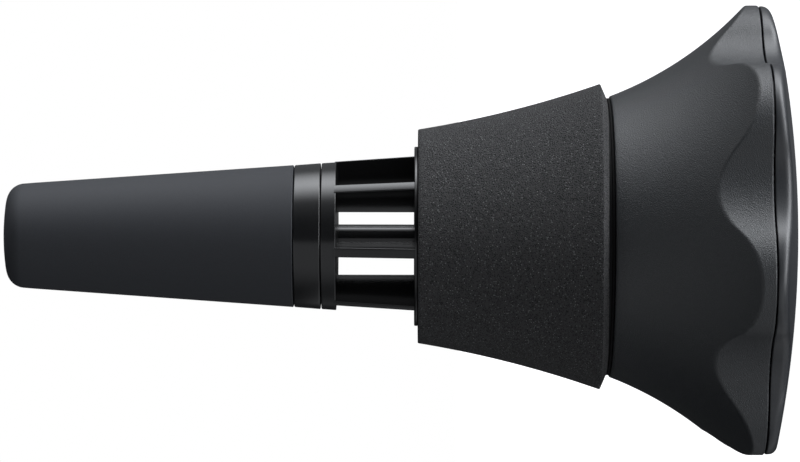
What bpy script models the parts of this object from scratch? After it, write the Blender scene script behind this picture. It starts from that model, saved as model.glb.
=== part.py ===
"""A trumpet practice mute, standing nose up on its rear cover.

Sizes are in millimetres and angles in degrees. Every mesh is built in metres, with the mute's axis on Z,
the foot of the rear cover at the origin, and one ridge of the rim and one fin of the cage on +X.
"""

import math

import bmesh
import bpy
from mathutils import Matrix, Vector

MM = 0.001

# Gaps between pieces
CLEARANCE = 0.3  # between pieces that touch or slide on the real mute
SEAM_GAP = 0.25  # the two thin seams on either side of the coupling ring
PARTING_GAP = 0.4  # the dark slot between the shell and the rear cover
RISE = 0.5  # how far a joined shape reaches into the body that it joins

# Heights, from the foot up
COVER_RIM_HEIGHT = 0.76  # the upright part of the cover's edge, at a ridge
SHELL_HEIGHT = 36.2
NECK_SEAL_HEIGHT = 0.75
CORE_HEIGHT = 46.85
CAGE_FLANGE_THICKNESS = 0.7
WINDOW_HEIGHT = 19.7
CAGE_RING_HEIGHT = 3.4
SPIGOT_HEIGHT = 3.25
LINER_FLANGE_THICKNESS = 1.2
COUPLING_LIP_THICKNESS = 1.5
NOSE_HEIGHT = 72.5

# Rear cover
FOOT_RADIUS = 10.0
DOME_RADIUS = 262.0
COVER_WALL = 1.8
COVER_EDGE_ROUND = 2.3
COVER_INSET = 0.2  # the cover's outline lies this far inside the shell's
TAB_WIDTH = 9.0
TAB_THICKNESS = 2.0
TAB_REACH = 3.0  # above the cover's rim, into the shell
TAB_CLEARANCE = 0.5

# Rim, seven rounded ridges with a finger scoop between each two
LOBES = 7
RIM_RADIUS = 57.9
SCOOP_RADIUS = 20.0
SCOOP_DEPTH = 9.0
RIM_BLEND = 1.2
RIM_WALL_HEIGHT = 2.95
RIM_EDGE_BREAK = 0.3

# Bell shell
NECK_STEP = 1.06  # the neck stands this far outside the core's base
FLARE_RADIUS = 89.0
SHELL_WALL = 2.0
NECK_LIP_WIDTH = 4.8

# Foam collar and the core under it
SEAT_REAR_RADIUS = 34.53  # the collar's bore, at its rear
SEAT_ARC_RADIUS = 270.4
FOAM_THICKNESS = 4.0
FOAM_BEVEL_HEIGHT = 1.6
FOAM_EDGE_ROUND = 0.5
CORE_WALL = 1.8
CORE_FLANGE_THICKNESS = 1.8
CORE_FLANGE_LAND = 2.8  # from the screw circle to the flange's bore
NECK_SEAL_INSET = 0.5  # from the neck lip's bore to the seal's
SLEEVE_BORE = 16.8
SLEEVE_HEIGHT = 27.0
SOCKET_FLOOR_GAP = 0.6  # under the cage's skirt, in the core's socket

# Baffle and its screws
BAFFLE_THICKNESS = 2.0
BAFFLE_EDGE_CLEARANCE = 1.2
BAFFLE_VENT_RADIUS = 3.5
BAFFLE_VENT_CIRCLE = 15.5
SCREW_COUNT = 4
SCREW_START_ANGLE = 45.0
SCREW_RADIUS = 1.5
SCREW_HEAD_RADIUS = 2.8
SCREW_HEAD_HEIGHT = 1.9
SCREW_SOCKET_WIDTH = 2.5
SCREW_SOCKET_DEPTH = 1.1
BOSS_RADIUS = 3.2
BOSS_GAP = 0.45  # between a boss and the bore of the neck lip
BOSS_RISE = 4.0  # above the core's rear flange
BOSS_FLOOR = 2.0  # closed end of the blind hole

# Vent cage
CAGE_FLANGE_STEP = 2.56  # the flange stands this far outside the fins
CAGE_FLANGE_ROUND = 0.35
SKIRT_HEIGHT = 6.5
SKIRT_WALL = 3.4
FIN_THICKNESS = 2.3
FIN_INNER_RADIUS = 11.2
FIN_RECESS = 0.2
HUB_THICKNESS = 2.0
HUB_DROP = 0.6  # below the cage ring
HUB_INSET = 1.3
SPIGOT_WALL = 2.4
RING_EDGE_BREAK = 0.2

# Centre tube and its grommets
TUBE_RADIUS = 2.95
TUBE_BORE = 2.0
TUBE_DROP = 5.2  # below the baffle plate
TUBE_RISE = 15.6  # above the nose's rear edge
TUBE_STOP_RADIUS = 4.2
TUBE_STOP_THICKNESS = 1.0
GROMMET_WALL = 1.35
GROMMET_FLANGE_RADIUS = 6.0
GROMMET_FLANGE_THICKNESS = 0.9

# Seals
O_RING_SECTION = 0.55
O_RING_SIDES = 6
SKIRT_GROOVE_RISE = 1.2  # from the open end of the skirt to its groove
PLUG_GROOVE_RISE = 0.6  # from the open end of the plug to its groove

# Nose and coupling ring
NOSE_REAR_RADIUS = 17.76
CONE_TAPER = 0.0693  # radius lost for each millimetre towards the tip
NOSE_TIP_ROUND = 4.5
NOSE_DOME_RADIUS = 60.0
NOSE_REAR_ROUND = 0.8
NOSE_WALL = 3.5
NOSE_END_WALL = 3.3
LINER_WALL = 1.5
LINER_TOP_ROUND = 1.0
LINER_NECK_INSET = 0.36
PLUG_WALL = 2.7
PLUG_DROP = 2.9  # into the spigot
DAMPER_GAP = 10.0  # from the end of the tube to the damper
COUPLING_WALL = 2.91
COUPLING_ROUND = 0.9
PAD_THICKNESS = 12.0
PAD_EDGE_CLEARANCE = 2.9

# Facets round each piece, and rows of them along its profile
RIM_SEGMENTS = 12 * LOBES
LARGE_SEGMENTS = 35
MEDIUM_SEGMENTS = 28
SMALL_SEGMENTS = 14
ROUND_STEPS = 3
TIP_STEPS = 5
FLARE_ROWS = 11
INNER_FLARE_ROWS = 7
SEAT_ROWS = 7
INNER_SEAT_ROWS = 5
SLEEVE_ROWS = 4
DOME_ROWS = (0.0, 0.35, 0.7)  # shares of the way from the foot to the cover's rounded edge
SHARP_ANGLE = 35.0


class Arc:
    """A concave arc between two (radius, height) points of a turned outline, the wider one below."""

    def __init__(self, lower, upper, radius):
        low, high = Vector(lower), Vector(upper)
        along = high - low
        reach = math.sqrt(radius**2 - (along.length / 2) ** 2)
        outward = Vector((along.y, -along.x)).normalized()
        self.centre = (low + high) / 2 + outward * reach
        self.radius = radius

    def at(self, height, inset=0.0):
        """The outline's radius at a height, or that of the surface this far inside it."""
        return self.centre.x - math.sqrt((self.radius + inset) ** 2 - (height - self.centre.y) ** 2)

    def heights(self, top, base, count):
        """Heights from top to base that lie evenly along the arc."""
        first = math.asin((self.centre.y - top) / self.radius)
        last = math.asin((self.centre.y - base) / self.radius)
        steps = [first + (last - first) * i / (count - 1) for i in range(count)]
        return [self.centre.y - self.radius * math.sin(step) for step in steps]


def dome_height(radius):
    """Height of the cover's outer face, level with the foot at the foot's edge."""
    return math.sqrt(DOME_RADIUS**2 - FOOT_RADIUS**2) - math.sqrt(DOME_RADIUS**2 - radius**2)


def cover_edge_centre(rim):
    """Centre of the cover's rounded edge, as (radius, height), where its outline has this radius."""
    slope = math.asin((rim - COVER_EDGE_ROUND) / DOME_RADIUS)
    seat = rim - COVER_EDGE_ROUND * (1 - math.sin(slope))
    return rim - COVER_EDGE_ROUND, dome_height(seat) + COVER_EDGE_ROUND * math.cos(slope)


# Heights, worked out from the foot up
COVER_HEIGHT = cover_edge_centre(RIM_RADIUS - COVER_INSET)[1] + COVER_RIM_HEIGHT
SHELL_BASE = COVER_HEIGHT + PARTING_GAP
SHELL_TOP = SHELL_BASE + SHELL_HEIGHT
LIP_UNDERSIDE = SHELL_TOP - SHELL_WALL
BAFFLE_TOP = LIP_UNDERSIDE - CLEARANCE
BAFFLE_BASE = BAFFLE_TOP - BAFFLE_THICKNESS
NECK_SEAL_BASE = SHELL_TOP + CLEARANCE
CORE_BASE = NECK_SEAL_BASE + NECK_SEAL_HEIGHT + CLEARANCE
CORE_FLANGE_TOP = CORE_BASE + CORE_FLANGE_THICKNESS
BOSS_TOP = CORE_FLANGE_TOP + BOSS_RISE
FOAM_REAR = CORE_BASE + FOAM_BEVEL_HEIGHT
CORE_TOP = CORE_BASE + CORE_HEIGHT
CAGE_BASE = CORE_TOP + CLEARANCE
SKIRT_BASE = CAGE_BASE - SKIRT_HEIGHT
SKIRT_GROOVE_BASE = SKIRT_BASE + SKIRT_GROOVE_RISE
SOCKET_BASE = SKIRT_BASE - SOCKET_FLOOR_GAP
WINDOW_BASE = CAGE_BASE + CAGE_FLANGE_THICKNESS
CAGE_RING_BASE = WINDOW_BASE + WINDOW_HEIGHT
HUB_BASE = CAGE_RING_BASE - HUB_DROP
HUB_TOP = HUB_BASE + HUB_THICKNESS
CAGE_RING_TOP = CAGE_RING_BASE + CAGE_RING_HEIGHT
COUPLING_BASE = CAGE_RING_TOP + SEAM_GAP
SPIGOT_TOP = CAGE_RING_TOP + SPIGOT_HEIGHT
PLUG_BASE = SPIGOT_TOP - PLUG_DROP
PLUG_GROOVE_BASE = PLUG_BASE + PLUG_GROOVE_RISE
LINER_FLANGE_BASE = SPIGOT_TOP + CLEARANCE
LINER_FLANGE_TOP = LINER_FLANGE_BASE + LINER_FLANGE_THICKNESS
LIP_BASE = LINER_FLANGE_TOP + CLEARANCE
COUPLING_TOP = LIP_BASE + COUPLING_LIP_THICKNESS
NOSE_BASE = COUPLING_TOP + SEAM_GAP
TUBE_TOP = NOSE_BASE + TUBE_RISE
NOSE_TIP = NOSE_BASE + NOSE_HEIGHT
LINER_TOP = NOSE_TIP - NOSE_END_WALL - CLEARANCE


def cone_radius(height):
    """The one cone that the nose, the coupling ring and the cage share."""
    return NOSE_REAR_RADIUS + CONE_TAPER * (NOSE_BASE - height)


def liner_radius(height, inset=0.0):
    return cone_radius(height) - NOSE_WALL - CLEARANCE - inset


# Radii, worked out from the nose outwards and back to the neck
GROMMET_BORE = TUBE_RADIUS + CLEARANCE
GROMMET_RADIUS = GROMMET_BORE + GROMMET_WALL
PLATE_BORE = GROMMET_RADIUS + CLEARANCE
GROOVE_SIZE = 2 * O_RING_SECTION + CLEARANCE
LINER_NECK_RADIUS = liner_radius(NOSE_BASE) - LINER_NECK_INSET
SPIGOT_RADIUS = cone_radius(COUPLING_BASE) - COUPLING_WALL - CLEARANCE
SPIGOT_BORE = SPIGOT_RADIUS - SPIGOT_WALL
PLUG_RADIUS = SPIGOT_BORE - CLEARANCE
PLUG_BORE = PLUG_RADIUS - PLUG_WALL
CAGE_FLANGE_RADIUS = cone_radius(WINDOW_BASE) + CAGE_FLANGE_STEP
SEAT = Arc((SEAT_REAR_RADIUS, CORE_BASE), (CAGE_FLANGE_RADIUS + CLEARANCE, CORE_TOP), SEAT_ARC_RADIUS)
SOCKET_RADIUS = SEAT.at(CORE_TOP, CLEARANCE + CORE_WALL)
SKIRT_RADIUS = SOCKET_RADIUS - CLEARANCE
CORE_BASE_RADIUS = SEAT.at(CORE_BASE, CLEARANCE)
NECK_RADIUS = CORE_BASE_RADIUS + NECK_STEP
NECK_LIP_BORE = NECK_RADIUS - NECK_LIP_WIDTH
SCREW_CIRCLE = NECK_LIP_BORE - BOSS_GAP - BOSS_RADIUS
SCREW_HOLE_RADIUS = SCREW_RADIUS + CLEARANCE
FLARE = Arc((RIM_RADIUS, SHELL_BASE + RIM_WALL_HEIGHT), (NECK_RADIUS, SHELL_TOP), FLARE_RADIUS)

# The rim's outline, where the arc of each ridge runs smoothly into the arcs of the scoops beside it
HALF_PITCH = math.pi / LOBES
SCOOP_CENTRE = RIM_RADIUS - SCOOP_DEPTH + SCOOP_RADIUS
SCOOP_REACH = SCOOP_CENTRE * math.cos(HALF_PITCH)
RIDGE_RADIUS = (SCOOP_CENTRE**2 + RIM_RADIUS**2 - 2 * RIM_RADIUS * SCOOP_REACH - SCOOP_RADIUS**2) / (
    2 * (SCOOP_RADIUS + RIM_RADIUS - SCOOP_REACH)
)
RIDGE_CENTRE = RIM_RADIUS - RIDGE_RADIUS
RIDGE_SHARE = RIDGE_RADIUS / (RIDGE_RADIUS + SCOOP_RADIUS)  # of the way from a ridge's centre to a scoop's
RIDGE_END = math.atan2(
    SCOOP_CENTRE * math.sin(HALF_PITCH) * RIDGE_SHARE,
    RIDGE_CENTRE + (SCOOP_REACH - RIDGE_CENTRE) * RIDGE_SHARE,
)


def smooth_min(first, second, blend):
    """The smaller of two radii, with the corner between them rounded off."""
    overlap = max(blend - abs(first - second), 0.0) / blend
    return min(first, second) - overlap**2 * blend / 4


def rim_outline(angle, inset=0.0):
    """Radius of the wavy rim at an angle about the axis."""
    from_ridge = abs((angle + HALF_PITCH) % (2 * HALF_PITCH) - HALF_PITCH)
    if from_ridge < RIDGE_END:
        bulge = math.sqrt(RIDGE_RADIUS**2 - (RIDGE_CENTRE * math.sin(from_ridge)) ** 2)
        return RIDGE_CENTRE * math.cos(from_ridge) + bulge - inset
    from_scoop = HALF_PITCH - from_ridge
    hollow = math.sqrt(SCOOP_RADIUS**2 - (SCOOP_CENTRE * math.sin(from_scoop)) ** 2)
    return SCOOP_CENTRE * math.cos(from_scoop) - hollow - inset


def shell_radius(height, angle, inset=0.0):
    """The flare, cut off by the rim's wavy wall."""
    return smooth_min(FLARE.at(height, inset), rim_outline(angle, inset), RIM_BLEND)


def rounded(centre, radius, start, end, steps=ROUND_STEPS):
    """Points of an arc in a profile, from one direction to the other in degrees, 0 outward and 90 up."""
    turns = [math.radians(start + (end - start) * i / steps) for i in range(steps + 1)]
    return [(centre[0] + radius * math.cos(turn), centre[1] + radius * math.sin(turn)) for turn in turns]


def empty(name, height, parent=None):
    """A frame on the mute's axis, for the pieces that move together."""
    frame = bpy.data.objects.new(name, None)
    bpy.context.collection.objects.link(frame)
    frame.parent = parent
    below = parent.matrix_world.translation.z if parent else 0.0
    frame.location = (0, 0, height * MM - below)
    bpy.context.view_layer.update()
    return frame


def add_object(name, bm, material, parent=None):
    """Makes an object of a mesh drawn in the mute's own frame."""
    bmesh.ops.recalc_face_normals(bm, faces=bm.faces)
    mesh = bpy.data.meshes.new(name)
    bm.to_mesh(mesh)
    bm.free()
    mesh.shade_smooth()
    mesh.set_sharp_from_angle(angle=math.radians(SHARP_ANGLE))
    if material:
        mesh.materials.append(material)
    obj = bpy.data.objects.new(name, mesh)
    bpy.context.collection.objects.link(obj)
    obj.parent = parent
    if parent:
        obj.location = -parent.matrix_world.translation
    return obj


def turned_mesh(profile_at, segments):
    """Spins a profile about Z. profile_at gives its (radius, height) points at an angle.

    A profile that starts on the axis also ends there; any other is a closed loop round a bore.
    """
    bm = bmesh.new()
    row_of = bm.verts.layers.int.new("row")
    start = profile_at(0.0)
    verts = []
    for row, (radius, height) in enumerate(start):
        vert = bm.verts.new((radius * MM, 0, height * MM))
        vert[row_of] = row
        verts.append(vert)
    edges = [bm.edges.new(pair) for pair in zip(verts, verts[1:])]
    if start[0][0] > 0:
        edges.append(bm.edges.new((verts[-1], verts[0])))
    bmesh.ops.spin(bm, geom=verts + edges, axis=(0, 0, 1), angle=math.tau, steps=segments, use_merge=True)
    bmesh.ops.remove_doubles(bm, verts=bm.verts, dist=1e-7)
    for vert in bm.verts:
        angle = math.atan2(vert.co.y, vert.co.x)
        radius, height = profile_at(angle)[vert[row_of]]
        vert.co = (radius * MM * math.cos(angle), radius * MM * math.sin(angle), height * MM)
    return bm


def turned(name, profile, segments, material, parent=None):
    return add_object(name, turned_mesh(lambda angle: profile, segments), material, parent)


def round_about(count, start=0.0):
    """Rotations about Z that put one copy on each of count even places."""
    return [Matrix.Rotation(math.tau * i / count + math.radians(start), 4, "Z") for i in range(count)]


def posts(name, places, radius, base, top, circle):
    """Upright cylinders on a circle, as one guide or cutter."""
    bm = bmesh.new()
    for turn in places:
        middle = Matrix.Translation((circle * MM, 0, (base + top) / 2 * MM))
        bmesh.ops.create_cone(
            bm,
            cap_ends=True,
            segments=SMALL_SEGMENTS,
            radius1=radius * MM,
            radius2=radius * MM,
            depth=(top - base) * MM,
            matrix=turn @ middle,
        )
    return guide(add_object(name, bm, None))


def blocks(name, places, width, base, top, inner, outer):
    """Upright blocks whose inner and outer radii are functions of the height, as one guide."""
    bm = bmesh.new()
    for turn in places:
        made = bmesh.ops.create_cube(bm, size=1.0)
        for vert in made["verts"]:
            height = top if vert.co.z > 0 else base
            reach = outer(height) if vert.co.x > 0 else inner(height)
            side = math.copysign(width / 2, vert.co.y)
            vert.co = turn @ (Vector((reach, side, height)) * MM)
    return guide(add_object(name, bm, None))


def guide(obj):
    obj.hide_render = True
    obj.display_type = "WIRE"
    return obj


def combine(obj, other, operation):
    change = obj.modifiers.new(other.name, "BOOLEAN")
    change.operation = operation
    change.solver = "EXACT"
    change.object = other


def plastic(name, colour, roughness, metallic=0.0):
    material = bpy.data.materials.new(name)
    material.use_nodes = True
    shader = material.node_tree.nodes["Principled BSDF"]
    shader.inputs["Base Color"].default_value = (*colour, 1.0)
    shader.inputs["Roughness"].default_value = roughness
    shader.inputs["Metallic"].default_value = metallic
    material.diffuse_color = (*colour, 1.0)
    return material


def make_bell_shell(material, parent):
    """The flared shell, its scoops cut through the flare, and the lip at its neck."""
    flare_rows = FLARE.heights(SHELL_TOP, SHELL_BASE + RIM_WALL_HEIGHT, FLARE_ROWS)
    wall_rows = [SHELL_BASE + RIM_WALL_HEIGHT / 2, SHELL_BASE + RIM_EDGE_BREAK]
    inner_rows = FLARE.heights(LIP_UNDERSIDE, SHELL_BASE + RIM_WALL_HEIGHT, INNER_FLARE_ROWS)

    def profile(angle):
        outer = [(shell_radius(height, angle), height) for height in flare_rows + wall_rows]
        edge = [
            (rim_outline(angle, RIM_EDGE_BREAK), SHELL_BASE),
            (rim_outline(angle, SHELL_WALL), SHELL_BASE),
        ]
        inner = [(shell_radius(height, angle, SHELL_WALL), height) for height in reversed(inner_rows)]
        return [(NECK_LIP_BORE, SHELL_TOP)] + outer + edge + inner + [(NECK_LIP_BORE, LIP_UNDERSIDE)]

    return add_object("bell_shell", turned_mesh(profile, RIM_SEGMENTS), material, parent)


def cover_profile(angle):
    """The cover's section: foot, dome, rounded edge and short wall, and the same again inside."""
    rim = rim_outline(angle, COVER_INSET)
    centre = cover_edge_centre(rim)
    lowest = math.degrees(math.asin(centre[0] / DOME_RADIUS)) - 90
    spread = [FOOT_RADIUS + (centre[0] - FOOT_RADIUS) * share for share in DOME_ROWS]
    dome = [(radius, dome_height(radius)) for radius in spread]
    edge = rounded(centre, COVER_EDGE_ROUND, lowest, 0)
    inside = rounded(centre, COVER_EDGE_ROUND - COVER_WALL, 0, lowest, 1)
    under = [(radius, height + COVER_WALL) for radius, height in reversed(dome)]
    walls = [(rim, COVER_HEIGHT), (rim - COVER_WALL, COVER_HEIGHT)]
    return [(0, 0)] + dome + edge + walls + inside + under + [(0, COVER_WALL)]


def make_rear_cover(material, parent):
    """The domed cover, with a tab at each ridge that locates it inside the shell."""
    cover = add_object("rear_cover", turned_mesh(cover_profile, RIM_SEGMENTS), material, parent)
    seat = RIM_RADIUS - SHELL_WALL - TAB_CLEARANCE - TAB_THICKNESS
    base = dome_height(seat) + COVER_WALL / 2
    top = COVER_HEIGHT + TAB_REACH

    def outer(height):
        """The tab's outer face, whose corners lie this far inside the shell's wall."""
        inset = SHELL_WALL + TAB_CLEARANCE
        corner = math.asin(TAB_WIDTH / 2 / (RIM_RADIUS - inset))
        return shell_radius(max(height, SHELL_BASE), corner, inset) * math.cos(corner)

    def inner(height):
        return outer(height) - TAB_THICKNESS

    tabs = blocks("tab_guide", round_about(LOBES), TAB_WIDTH, base, top, inner, outer)
    combine(cover, tabs, "UNION")
    return cover


def make_damping_pad(material, parent):
    edge = RIM_RADIUS - SCOOP_DEPTH - SHELL_WALL - PAD_EDGE_CLEARANCE
    spread = [FOOT_RADIUS, (FOOT_RADIUS + edge) / 2, edge]
    floor = COVER_WALL + CLEARANCE
    top = dome_height(edge) + floor + PAD_THICKNESS
    under = [(radius, dome_height(radius) + floor) for radius in spread]
    profile = [(0, floor)] + under + [(edge, top), (0, top)]
    return turned("damping_pad", profile, MEDIUM_SEGMENTS, material, parent)


def make_core_cone(material, parent):
    """The carrier under the foam, with the cage's socket and the bosses for the baffle's screws."""
    wall = CLEARANCE + CORE_WALL
    outer_rows = SEAT.heights(CORE_TOP, CORE_BASE, SEAT_ROWS)
    inner_rows = SEAT.heights(CORE_FLANGE_TOP, SOCKET_BASE, INNER_SEAT_ROWS)
    outer = [(SEAT.at(height, CLEARANCE), height) for height in outer_rows]
    inner = [(SEAT.at(height, wall), height) for height in inner_rows]
    flange_bore = SCREW_CIRCLE - CORE_FLANGE_LAND
    flange = [(flange_bore, CORE_BASE), (flange_bore, CORE_FLANGE_TOP)]
    socket = [(SOCKET_RADIUS, SOCKET_BASE), (SOCKET_RADIUS, CORE_TOP)]
    core = turned("core_cone", outer + flange + inner + socket, LARGE_SEGMENTS, material, parent)
    places = round_about(SCREW_COUNT, SCREW_START_ANGLE)
    hole_base, hole_top = LIP_UNDERSIDE - RISE, BOSS_TOP - BOSS_FLOOR
    bosses = posts("boss_guide", places, BOSS_RADIUS, LIP_UNDERSIDE, BOSS_TOP, SCREW_CIRCLE)
    holes = posts("boss_hole_cutter", places, SCREW_HOLE_RADIUS, hole_base, hole_top, SCREW_CIRCLE)
    combine(core, bosses, "UNION")
    combine(core, holes, "DIFFERENCE")
    return core


def make_core_damper(material, parent):
    """The foam sleeve inside the core, from the tops of the bosses up."""
    base = BOSS_TOP + CLEARANCE
    rows = SEAT.heights(base + SLEEVE_HEIGHT, base, SLEEVE_ROWS)
    outer = [(SEAT.at(height, CLEARANCE + CORE_WALL + CLEARANCE), height) for height in rows]
    profile = outer + [(SLEEVE_BORE, rows[-1]), (SLEEVE_BORE, rows[0])]
    return turned("core_damper", profile, MEDIUM_SEGMENTS, material, parent)


def make_foam_collar(material, parent):
    """The collar that seals in the instrument's bell, of even thickness, cut on a bevel at its rear."""
    outer_rows = SEAT.heights(CORE_TOP - FOAM_EDGE_ROUND, FOAM_REAR + FOAM_EDGE_ROUND, SEAT_ROWS)
    inner_rows = SEAT.heights(CORE_BASE, CORE_TOP, INNER_SEAT_ROWS)
    outer = [(SEAT.at(height, -FOAM_THICKNESS), height) for height in outer_rows]
    inner = [(SEAT.at(height), height) for height in inner_rows]
    front = (SEAT.at(CORE_TOP, -FOAM_THICKNESS) - FOAM_EDGE_ROUND, CORE_TOP)
    corner = Vector((SEAT.at(FOAM_REAR, -FOAM_THICKNESS), FOAM_REAR))
    eased = corner + (Vector(inner[0]) - corner).normalized() * FOAM_EDGE_ROUND
    profile = [front] + outer + [tuple(eased)] + inner
    return turned("foam_collar", profile, LARGE_SEGMENTS, material, parent)


def make_neck_seal(material, parent):
    bore = NECK_LIP_BORE + NECK_SEAL_INSET
    top = NECK_SEAL_BASE + NECK_SEAL_HEIGHT
    low = [(bore, NECK_SEAL_BASE), (CORE_BASE_RADIUS, NECK_SEAL_BASE)]
    profile = low + [(CORE_BASE_RADIUS, top), (bore, top)]
    return turned("neck_seal", profile, LARGE_SEGMENTS, material, parent)


def make_baffle_plate(material, parent):
    """The perforated disc under the shell's neck lip."""
    edge = FLARE.at(BAFFLE_TOP, SHELL_WALL) - BAFFLE_EDGE_CLEARANCE
    profile = [(PLATE_BORE, BAFFLE_BASE), (edge, BAFFLE_BASE), (edge, BAFFLE_TOP), (PLATE_BORE, BAFFLE_TOP)]
    plate = turned("baffle_plate", profile, MEDIUM_SEGMENTS, material, parent)
    low, high = BAFFLE_BASE - RISE, BAFFLE_TOP + RISE
    around = round_about(LOBES)
    corners = round_about(SCREW_COUNT, SCREW_START_ANGLE)
    vents = posts("baffle_vent_cutter", around, BAFFLE_VENT_RADIUS, low, high, BAFFLE_VENT_CIRCLE)
    holes = posts("baffle_hole_cutter", corners, SCREW_HOLE_RADIUS, low, high, SCREW_CIRCLE)
    combine(plate, vents, "DIFFERENCE")
    combine(plate, holes, "DIFFERENCE")
    return plate


def make_baffle_screws(material, parent):
    """Pan-head screws, driven up through the baffle into the core's bosses."""
    seat = BAFFLE_BASE - CLEARANCE
    head = seat - SCREW_HEAD_HEIGHT
    end = BOSS_TOP - BOSS_FLOOR - CLEARANCE
    socket = SCREW_SOCKET_WIDTH / 2
    profile = [
        (0, head + SCREW_SOCKET_DEPTH),
        (socket, head + SCREW_SOCKET_DEPTH),
        (socket, head),
        (SCREW_HEAD_RADIUS - RISE, head),
        (SCREW_HEAD_RADIUS, head + RISE),
        (SCREW_HEAD_RADIUS, seat),
        (SCREW_RADIUS, seat),
        (SCREW_RADIUS, end - RISE),
        (SCREW_RADIUS - RISE, end),
        (0, end),
    ]
    first = turned("baffle_screw_1", profile, SMALL_SEGMENTS, material, parent)
    screws = [first]
    for number in range(2, SCREW_COUNT + 1):
        screw = bpy.data.objects.new(f"baffle_screw_{number}", first.data)
        bpy.context.collection.objects.link(screw)
        screw.parent = parent
        screws.append(screw)
    for screw, turn in zip(screws, round_about(SCREW_COUNT, SCREW_START_ANGLE)):
        screw.location = turn @ Vector((SCREW_CIRCLE * MM, 0, 0))
    return screws


def make_grommet(name, base, top, flush, material, parent):
    """A rubber grommet in the bore of a plate that lies between two heights, flanged below unless flush."""
    low, high = base - CLEARANCE, top + CLEARANCE
    end, crown = low - GROMMET_FLANGE_THICKNESS, high + GROMMET_FLANGE_THICKNESS
    foot = [
        (GROMMET_BORE, end),
        (GROMMET_FLANGE_RADIUS, end),
        (GROMMET_FLANGE_RADIUS, low),
        (GROMMET_RADIUS, low),
    ]
    if flush:
        foot = [(GROMMET_BORE, base), (GROMMET_RADIUS, base)]
    profile = foot + [
        (GROMMET_RADIUS, high),
        (GROMMET_FLANGE_RADIUS, high),
        (GROMMET_FLANGE_RADIUS, crown),
        (GROMMET_BORE, crown),
    ]
    return turned(name, profile, SMALL_SEGMENTS, material, parent)


def make_centre_tube(material, parent):
    """The tube between the rear chamber and the nose, with the collar that stops it on its grommet."""
    base = BAFFLE_BASE - TUBE_DROP
    stop = BAFFLE_TOP + CLEARANCE + GROMMET_FLANGE_THICKNESS + CLEARANCE
    profile = [
        (TUBE_BORE, base),
        (TUBE_RADIUS, base),
        (TUBE_RADIUS, stop),
        (TUBE_STOP_RADIUS, stop),
        (TUBE_STOP_RADIUS, stop + TUBE_STOP_THICKNESS),
        (TUBE_RADIUS, stop + TUBE_STOP_THICKNESS),
        (TUBE_RADIUS, TUBE_TOP),
        (TUBE_BORE, TUBE_TOP),
    ]
    return turned("centre_tube", profile, SMALL_SEGMENTS, material, parent)


def o_ring_groove(radius, base):
    """The profile points of a groove in an outer wall, from its lower edge up."""
    floor = radius - GROOVE_SIZE
    top = base + GROOVE_SIZE
    return [(radius, base), (floor, base), (floor, top), (radius, top)]


def make_o_ring(name, groove_radius, groove_base, material, parent):
    """An O-ring that fills its groove out to the radius of the wall."""
    centre = (groove_radius - O_RING_SECTION, groove_base + GROOVE_SIZE / 2)
    profile = rounded(centre, O_RING_SECTION, 0, 360, O_RING_SIDES)[:-1]
    return turned(name, profile, MEDIUM_SEGMENTS, material, parent)


def make_vent_cage(material, parent):
    """The front ring and its threaded spigot, seven radial fins, and the rear flange with its skirt."""
    bore = SKIRT_RADIUS - SKIRT_WALL
    low, high = CAGE_RING_BASE, CAGE_RING_TOP
    front_profile = [
        (PLATE_BORE, HUB_BASE),
        (cone_radius(HUB_BASE) - HUB_INSET, HUB_BASE),
        (cone_radius(low) - HUB_INSET, low),
        (cone_radius(low) - RING_EDGE_BREAK, low),
        (cone_radius(low), low + RING_EDGE_BREAK),
        (cone_radius(high), high - RING_EDGE_BREAK),
        (cone_radius(high) - RING_EDGE_BREAK, high),
        (SPIGOT_RADIUS, high),
        (SPIGOT_RADIUS, SPIGOT_TOP),
        (SPIGOT_BORE, SPIGOT_TOP),
        (SPIGOT_BORE, HUB_TOP),
        (PLATE_BORE, HUB_TOP),
    ]
    rear_profile = (
        [(bore, SKIRT_BASE), (SKIRT_RADIUS, SKIRT_BASE)]
        + o_ring_groove(SKIRT_RADIUS, SKIRT_GROOVE_BASE)
        + [
            (SKIRT_RADIUS, CAGE_BASE),
            (CAGE_FLANGE_RADIUS, CAGE_BASE),
            (CAGE_FLANGE_RADIUS, WINDOW_BASE - CAGE_FLANGE_ROUND),
            (CAGE_FLANGE_RADIUS - CAGE_FLANGE_ROUND, WINDOW_BASE),
            (bore, WINDOW_BASE),
        ]
    )
    cage = turned("vent_cage", front_profile, LARGE_SEGMENTS, material, parent)
    rear = guide(turned("cage_rear_guide", rear_profile, LARGE_SEGMENTS, None))
    fins = blocks(
        "fin_guide",
        round_about(LOBES),
        FIN_THICKNESS,
        WINDOW_BASE - CAGE_FLANGE_THICKNESS / 2,
        HUB_BASE + HUB_THICKNESS / 2,
        lambda z: FIN_INNER_RADIUS,
        lambda z: cone_radius(z) - FIN_RECESS,
    )
    combine(cage, fins, "UNION")
    combine(cage, rear, "UNION")
    return cage


def make_coupling_ring(material, parent):
    """The union nut that draws the nose's flange onto the cage's spigot."""
    bore = SPIGOT_RADIUS + CLEARANCE
    lip = LINER_NECK_RADIUS + CLEARANCE
    corner = (cone_radius(COUPLING_TOP) - COUPLING_ROUND, COUPLING_TOP - COUPLING_ROUND)
    profile = (
        [
            (bore, COUPLING_BASE),
            (cone_radius(COUPLING_BASE) - RING_EDGE_BREAK, COUPLING_BASE),
            (cone_radius(COUPLING_BASE), COUPLING_BASE + RING_EDGE_BREAK),
        ]
        + rounded(corner, COUPLING_ROUND, 0, 90)
        + [(lip, COUPLING_TOP), (lip, LIP_BASE), (bore, LIP_BASE)]
    )
    return turned("coupling_ring", profile, LARGE_SEGMENTS, material, parent)


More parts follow.
